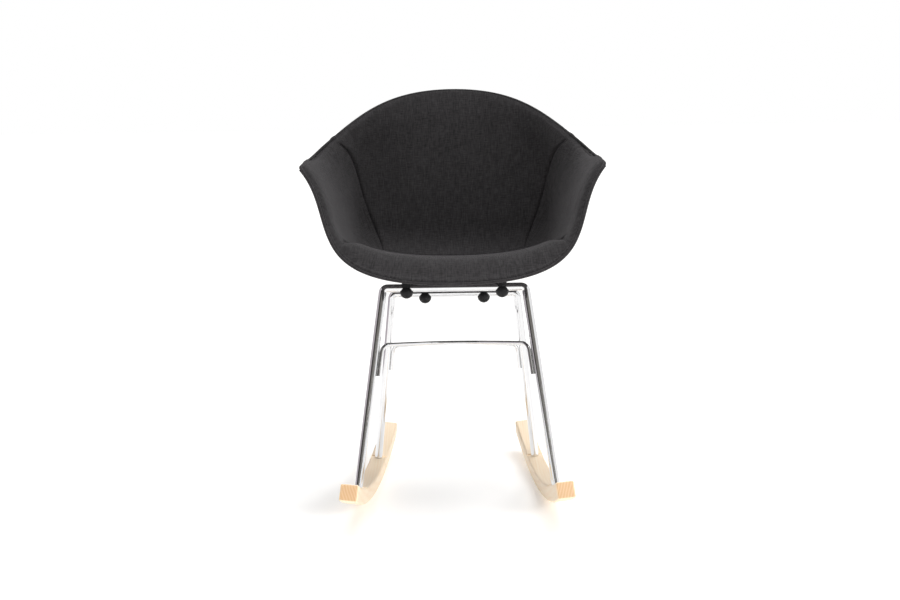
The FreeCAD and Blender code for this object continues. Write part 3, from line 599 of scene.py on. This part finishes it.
# %% Cut and fill the seat and the back
SEAT_FULL, BACK_FULL = 0.022 + FABRIC, 0.017 + FABRIC
SLIT = 0.0003
HEM = 0.0014
HEM_PLACE, HEM_WIDTH, HEM_DEPTH = 0.0065, 0.0026, 0.0018
CREASE_BOW = -0.003
CROWN, CROWN_START, CROWN_FADE = 0.0140, 0.45, 0.5
PANEL_COLUMNS, PANEL_ROWS = 121, 111
column = 2 * spaced(PANEL_COLUMNS)[None, :] - 1
row = spaced(PANEL_ROWS)[:, None]
crease_run = CREASE + CREASE_BOW * (1 - column**2)


def channel(distance, place, width):
    """1 in the middle of a groove at a distance from an edge, falling to 0 beside it."""
    return np.exp(-(((distance - place) / width) ** 2))


def seat_dip(from_left, from_right, from_lip, from_fold):
    return HEM_DEPTH * channel(from_lip, HEM_PLACE, HEM_WIDTH)


def no_dip(*gaps):
    return 0


seat_run = HEM + (crease_run - SLIT - HEM) * row
seat_share = column * (seam_share(seat_run) - SLIT)
fading = ease(np.clip((row - CROWN_START) / CROWN_FADE, 0, 1))
crown = CROWN * (1 - fading) * (1 - column**6)
seat_top, seat_base = panel("seat_pad", seat_share, seat_run, SEAT_FULL + crown,
                            (SEAT_SEAM, SEAT_SEAM, FRONT, FOLD), seat_dip, axes=[0, 1], layer=1)
back_end = 1 + top_over(column * seam_share(1.0))
back_run = crease_run + SLIT + (back_end - crease_run - SLIT) * row
back_share = column * (seam_share(back_run) - SLIT)
panel("back_pad", back_share, back_run, BACK_FULL,
      (SEAM, SEAM, FOLD, RIM), no_dip, axes=[0, 2], layer=2)

# %% [markdown]
# The arm panels are topstitched along the seam, which pulls a shallow channel beside it, and along the
# front of the seat their spare cloth is gathered into two tucks. The hem groove runs on along their front.

# %% Cut and fill the arms
ARM_FULL = 0.014 + FABRIC
STITCH_INSET, STITCH_WIDTH, STITCH_DEPTH = 0.005, 0.0014, 0.0007
TUCK_START, TUCK_WIDTH = 0.006, 0.0022
ARM_COLUMNS, ARM_ROWS = 101, 181


def tuck(from_seam, from_lip, inset, slant, end, depth):
    """Channel that starts near the lip, some way from the seam, and slants towards it."""
    along = (from_lip - TUCK_START) * (end - from_lip) / ((end - TUCK_START) / 2) ** 2
    return depth * np.clip(along, 0, 1) * channel(from_seam, inset - slant * from_lip, TUCK_WIDTH)


def arm_dip(from_seam, from_rim, from_lip, from_top):
    topstitch = STITCH_DEPTH * channel(from_seam, STITCH_INSET, STITCH_WIDTH)
    long_tuck = tuck(from_seam, from_lip, inset=0.010, slant=0.035, end=0.220, depth=0.0020)
    short_tuck = tuck(from_seam, from_lip, inset=0.017, slant=0.110, end=0.110, depth=0.0014)
    return topstitch + long_tuck + short_tuck + HEM_DEPTH * channel(from_lip, HEM_PLACE, HEM_WIDTH)


across = spaced(ARM_COLUMNS)[None, :]
arm_end = 1 + top_over(seam_share(1.0) + (1 + SIDE_OVER - seam_share(1.0)) * across)
arm_run = HEM + (arm_end - HEM) * spaced(ARM_ROWS)[:, None]
arm_inner = seam_share(arm_run) + SLIT
arm_share = arm_inner + (1 + SIDE_OVER - arm_inner) * across
arm_grids = [panel(f"{word}_arm_pad", side * arm_share, arm_run, ARM_FULL, (SEAM, RIM, FRONT, RIM),
                   arm_dip, axes=[1, 2], layer=3 + side) for word, side in (("left", -1), ("right", 1))]

# %% [markdown]
# ## Outside cover
# The outside of the bucket is covered in the same cloth, stretched and glued, so it shows the bucket's own
# form. It is one thin closed grid below the moulded wall. Its seams lie behind those of the inside, as
# shallow grooves.

# %% Stretch the outside cover
OUTER_BACK, OUTER_FACE = -0.0041, -0.0052
OUTER_GROOVE, OUTER_GROOVE_WIDTH = 0.0006, 0.0022
HALF_SECTION = 0.45
OUTER_COLUMNS, OUTER_ROWS = 241, 161
outer_share = np.linspace(-1, 1, OUTER_COLUMNS)[None, :]
outer_run = np.linspace(0, 1, OUTER_ROWS)[:, None]
seam_gap = (np.abs(outer_share) - seam_share(outer_run)) * HALF_SECTION
groove = OUTER_GROOVE * channel(seam_gap, 0, OUTER_GROOVE_WIDTH)
outside = bucket(outer_share, outer_run, OUTER_FACE + groove)
glued_face = bucket(outer_share, outer_run, OUTER_BACK)
outer_cover = closed_grid("outside_cover", outside, glued_face, axes=[0, 1], layer=9)
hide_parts("outer_cover")
across_length = float(from_edges(outside, 1)[0].max())
along_length = float(from_edges(outside, 0)[0].max())

# %% [markdown]
# ## Piping
# A cord covered in the same cloth closes the rim where inside and outside meet. A curve with a bevel would
# do, but its cloth needs coordinates too, so the tube is built ring by ring along the rim. The four rows
# of the rim stop short of the corners, and smoothing the closed line rounds them.

# %% Run the piping round the rim
PIPING, PIPING_PLAY, PIPING_DROP = 0.003, 0.0002, 0.0005
INWARD = 0.01
CORNER, TOP_CORNER = 0.97, 0.96
FRONT_SPOTS, SIDE_SPOTS, TOP_SPOTS, RIM_SPOTS = 120, 30, 110, 900
SMOOTHINGS = 12


def rim_line(share, run, inward):
    """Points beside the rim: square to the edge, clear of it by the piping's radius and a little play."""
    here = bucket(share, run, -PIPING_DROP)
    inside = bucket(share + inward[0], run + inward[1], -PIPING_DROP)
    edge = np.gradient(here, axis=0)
    edge /= np.linalg.norm(edge, axis=1)[:, None]
    away = here - inside
    away -= edge * (away * edge).sum(1)[:, None]
    return here + away / np.linalg.norm(away, axis=1)[:, None] * (PIPING + PIPING_PLAY)


def resample(path, count):
    """Evenly spaced points on a closed line, and its length."""
    closed = np.concatenate([path, path[:1]])
    gone = np.insert(np.linalg.norm(np.diff(closed, axis=0), axis=1).cumsum(), 0, 0)
    even = np.linspace(0, gone[-1], count, endpoint=False)
    return np.stack([np.interp(even, gone, closed[:, axis]) for axis in range(3)], -1), gone[-1]


front_row = rim_line(np.linspace(-CORNER, CORNER, FRONT_SPOTS), 0, (0, INWARD))
right_row = rim_line(1, np.linspace(1 - CORNER, CORNER, SIDE_SPOTS), (-INWARD, 0))
top_row = rim_line(np.linspace(TOP_CORNER, -TOP_CORNER, TOP_SPOTS), 1, (0, -INWARD))
left_row = rim_line(-1, np.linspace(CORNER, 1 - CORNER, SIDE_SPOTS), (INWARD, 0))
rim_path, rim_length = resample(np.concatenate([front_row, right_row, top_row, left_row]), RIM_SPOTS)
for smoothing in range(SMOOTHINGS):
    rim_path = (np.roll(rim_path, 1, 0) + 2 * rim_path + np.roll(rim_path, -1, 0)) / 4
print("rim", round(rim_length, 3), "m long")

# %% [markdown]
# Where the back's seams run into the rim, the folded cloth under the piping makes a small hump, so the
# tube takes a radius for each of its rings.

# %% Wrap the cord
CORD_SIDES = 20
HUMP, HUMP_REACH = 0.0013, 0.008
BUCKET_MIDDLE = np.array([0, 0.03, 0.62])


def closed_tube(name, path, length, radius, sides, layer):
    """Tube along a closed line, with a radius at each of its points."""
    count = len(path)
    ahead = np.roll(path, -1, 0) - np.roll(path, 1, 0)
    ahead /= np.linalg.norm(ahead, axis=1)[:, None]
    outward = path - BUCKET_MIDDLE
    outward -= ahead * (outward * ahead).sum(1)[:, None]
    outward /= np.linalg.norm(outward, axis=1)[:, None]
    upward = np.cross(ahead, outward)
    turn = np.linspace(0, 2 * math.pi, sides, endpoint=False)
    ring = np.cos(turn)[None, :, None] * outward[:, None] + np.sin(turn)[None, :, None] * upward[:, None]
    points = (path[:, None] + radius[:, None, None] * ring).reshape(-1, 3)
    ids = np.arange(count * sides).reshape(count, sides)
    ids = np.concatenate([ids, ids[:1]])
    ids = np.concatenate([ids, ids[:, :1]], 1)
    along = np.repeat(np.linspace(0, length * 1000, count), sides)
    around = np.tile(turn * 1000 * PIPING, count)
    cloth_place = np.stack([along, around, np.full_like(along, layer)], -1)
    return link_mesh(name, points, grid_faces(ids), cloth_place)


cord_radius = np.full(len(rim_path), PIPING)
for side in (-1, 1):
    seam_end = bucket(side * seam_share(np.array(1.0)), 1.0, 0.0)
    gap = np.linalg.norm(rim_path - seam_end, axis=1)
    cord_radius += HUMP * np.exp(-((gap / HUMP_REACH) ** 4))
piping = closed_tube("rim_piping_cord", rim_path, rim_length, cord_radius, CORD_SIDES, layer=12)
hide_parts("rim_piping")

# %% [markdown]
# ## Stitching
# Along the front edge and beside the arm seams runs a row of stitches. A dashed line in the material would
# leave no shape in the mesh, so each stitch is a short length of thread that dives into the cloth at both
# ends.

# %% Thread the stitches
THREAD = 0.00042
STITCH, SKIP = 0.0034, 0.0012
HEM_INSET = 0.0035
ROW_END = 0.004
STITCH_PLACES = np.array([0, 0.12, 0.5, 0.88, 1]) * STITCH
STITCH_HEIGHTS = np.array([-0.6, 0.1, 0.5, 0.1, -0.6]) * THREAD
STITCH_RADII = np.array([0.4, 0.9, 1, 0.9, 0.4]) * THREAD
THREAD_SIDES = 6
# Millimetres of weave between stitches, so that each has a tone of its own
CLOTH_STEP = 5.1


def at_inset(values, gone, inset):
    """Values of a grid at a distance from its first row, one for each column."""
    columns = zip(gone.T, values.transpose(1, 2, 0))
    return np.array([[np.interp(inset, steps, line) for line in lines] for steps, lines in columns])


def inset_line(upper, base, inset):
    """Points at a distance from the first row of a grid, and the direction away from the bucket there."""
    gone = from_edges(upper, 0)[0]
    normals = at_inset(upper - base, gone, inset)
    return at_inset(upper, gone, inset), normals / np.linalg.norm(normals, axis=1)[:, None]


def thread_row(points, normals):
    """Rings of points for each stitch along a line."""
    gone = np.insert(np.linalg.norm(np.diff(points, axis=0), axis=1).cumsum(), 0, 0)
    starts = np.arange(ROW_END, gone[-1] - STITCH - ROW_END, STITCH + SKIP)
    places = starts[:, None] + STITCH_PLACES
    spot = np.stack([np.interp(places, gone, line) for line in points.T], -1)
    out = np.stack([np.interp(places, gone, line) for line in normals.T], -1)
    ahead = np.gradient(spot, axis=1)
    ahead /= np.linalg.norm(ahead, axis=-1)[..., None]
    across = np.cross(ahead, out)
    spot = spot + out * STITCH_HEIGHTS[:, None]
    turn = np.linspace(0, 2 * math.pi, THREAD_SIDES, endpoint=False)
    ring = np.cos(turn)[:, None] * across[..., None, :] + np.sin(turn)[:, None] * out[..., None, :]
    return spot[..., None, :] + STITCH_RADII[:, None, None] * ring


# %% Sew the rows


def sew(name, lines, layer):
    """One mesh of all the stitches along some lines."""
    rings = np.concatenate([thread_row(points, normals) for points, normals in lines])
    count, ring_count = rings.shape[:2]
    stitch_points = ring_count * THREAD_SIDES
    ids = np.arange(count * stitch_points).reshape(count, ring_count, THREAD_SIDES)
    loop = np.concatenate([ids, ids[:, :, :1]], 2)
    sides = np.stack([loop[:, :-1, :-1], loop[:, :-1, 1:], loop[:, 1:, 1:], loop[:, 1:, :-1]], -1)
    caps = [ids[:, end, order] for end in (0, -1) for order in ([0, 1, 2, 3], [0, 3, 4, 5])]
    place = np.zeros((count * stitch_points, 3))
    place[:, 0] = np.repeat(np.arange(count) * CLOTH_STEP, stitch_points)
    place[:, 2] = layer
    print(count, "stitches")
    link_mesh(name, rings.reshape(-1, 3), np.concatenate([sides.reshape(-1, 4), *caps]), place)


seam_lines = []
hem_lines = [inset_line(seat_top, seat_base, HEM_INSET)]
for upper, base in arm_grids:
    seam_lines.append(inset_line(upper.transpose(1, 0, 2), base.transpose(1, 0, 2), STITCH_INSET))
    hem_lines.append(inset_line(upper, base, HEM_INSET))
sew("seam_stitches", seam_lines, layer=20)
sew("rim_stitches", hem_lines, layer=21)

# %% [markdown]
# ## Chromed tube
# Legs and stretchers are bent steel with polished chrome plate. Its colour is all reflection, so the
# shader is a bright metal with a low roughness; faint smears in the roughness keep it from looking too
# perfect.

# %% Plate the tubes
chrome, tree, shader = new_finish("polished_chrome", Metallic=1.0)
smear = noise(tree, geometry(tree, "Position"), scale=28.0, detail=4.0, roughness=0.6)
feed(tree, shader, Roughness=smear * 0.06 + 0.03)
feed(tree, shader, Base_Color=mix_colour(tree, smear, (0.72, 0.725, 0.735), (0.84, 0.84, 0.845)))
print("chrome has", len(tree.nodes), "nodes")

# %% [markdown]
# ## Pale wood
# The rockers are cut from pale close-grained hardwood under clear lacquer. Grain follows the rocker's
# length, so the material works out a place along its arc, across it and through its depth, and stretches
# noise along the arc. On the sawn ends the same growth rings show as darker lines, so the end colour is
# kept to the last two centimetres of the arc.

# %% Find the place in the rocker
ARC_CENTRE = 0.963
END_REACH, END_FADE = 0.022, 0.002
wood, tree, shader = new_finish("pale_hardwood", Coat_Weight=0.2, Coat_Roughness=0.3)
x, y, z = split(tree, geometry(tree, "Position"))
drop = ARC_CENTRE - z
angle = y.angle_over(drop)
along = angle * ARC_CENTRE
depth = (y * y + drop * drop).root()
_, facing_y, facing_z = split(tree, geometry(tree, "Normal"))
end_on = abs(facing_y * angle.cosine() + facing_z * angle.sine())
rocker_low, rocker_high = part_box("left_rocker")
past_front = (y - (rocker_low[1] + END_REACH)).smooth(0, END_FADE)
before_rear = (rocker_high[1] - END_REACH - y).smooth(0, END_FADE)
end_grain = end_on.smooth(0.7, 0.97) * (1 - past_front * before_rear)
print("rocker from", round(rocker_low[1], 3), "to", round(rocker_high[1], 3), "m")

# %% Grain the rockers
RING_SPACING = 0.0055
RING_WAVE = 2 * math.pi / RING_SPACING
PALE, DEEPER = (0.99, 0.82, 0.60), (0.95, 0.735, 0.50)
END_PALE, END_DEEPER = (0.71, 0.475, 0.275), (0.65, 0.40, 0.205)
PORE = (0.62, 0.40, 0.22)
wander = noise(tree, join(tree, x * 30.0, along * 1.5, depth * 30.0), 1.0, 2.0) * 7.0
ring = ((abs(x) + depth * 0.22) * RING_WAVE + wander).sine() * 0.5 + 0.5
fibre = noise(tree, join(tree, x * 130.0, along * 4.0, depth * 130.0), 2.2, 4.0, 0.6)
pores = noise(tree, join(tree, x * 900.0, along * 16.0, depth * 900.0), 1.0, 2.0, 0.7)
long_colour = mix_colour(tree, (fibre * 0.8 + ring * 0.2).smooth(0.25, 0.8), PALE, DEEPER)
end_colour = mix_colour(tree, (ring * 0.75 + fibre * 0.4).smooth(0.2, 0.9), END_PALE, END_DEEPER)
plain = mix_colour(tree, end_grain, long_colour, end_colour)
feed(tree, shader, Base_Color=mix_colour(tree, pores.smooth(0.62, 0.8) * 0.2, plain, PORE))
feed(tree, shader, Roughness=0.42 + fibre * 0.12 + end_grain * 0.15)
feed(tree, shader, Normal=bump(tree, fibre + pores * 0.4, strength=0.12, distance=0.0006))
print("wood has", len(tree.nodes), "nodes")

# %% [markdown]
# ## Black mounts, shell and plain steel
# The round mounts are satin black plastic with a faint moulded texture. The shell shows only as a dark
# line under the hem, so it is plain matte black. Bolts, washers, plugs and inserts are zinc plated steel,
# mostly hidden.

# %% Mould the mounts and the shell
black, tree, shader = new_finish("satin_black_plastic", Specular_IOR_Level=0.2)
place = geometry(tree, "Position")
cloud = noise(tree, place, scale=60.0, detail=3.0)
feed(tree, shader, Roughness=0.42 + cloud * 0.16)
feed(tree, shader, Base_Color=mix_colour(tree, cloud, (0.010, 0.010, 0.011), (0.020, 0.020, 0.021)))
grit = noise(tree, place, scale=900.0)
feed(tree, shader, Normal=bump(tree, grit, strength=0.15, distance=0.0002))
shell, _, _ = new_finish("matte_black_shell", Roughness=0.9, Specular_IOR_Level=0.05,
                         Base_Color=(0.008, 0.008, 0.008, 1))
print("black plastic has", len(tree.nodes), "nodes")

# %% Plate the bolts
zinc, tree, shader = new_finish("zinc_plate", Metallic=1.0)
spangle = noise(tree, geometry(tree, "Position"), scale=250.0, detail=3.0)
feed(tree, shader, Roughness=0.3 + spangle * 0.2)
feed(tree, shader, Base_Color=mix_colour(tree, spangle, (0.50, 0.51, 0.53), (0.66, 0.67, 0.68)))
print("zinc plate has", len(tree.nodes), "nodes")

# %% [markdown]
# ## Finishes on the CAD nodes
# The record names a material slot for every node. One table turns slots into finishes, so no node is
# forgotten. The new meshes stand in for the foam and the CAD fabric, which get a finish all the same.

# %% Give every CAD node its finish
FINISHES = {"chrome_tube": chrome, "rocker_wood": wood, "mount_plastic": black, "shell_plastic": shell,
            "zinc_steel": zinc, "upholstery_fabric": charcoal, "foam": charcoal}
for part in frame["record"]["subparts"]:
    node = nodes[part["node"]]
    node.data.materials.clear()
    node.data.materials.append(FINISHES[part["material_slot"]])
print("finished", len(nodes), "CAD nodes")
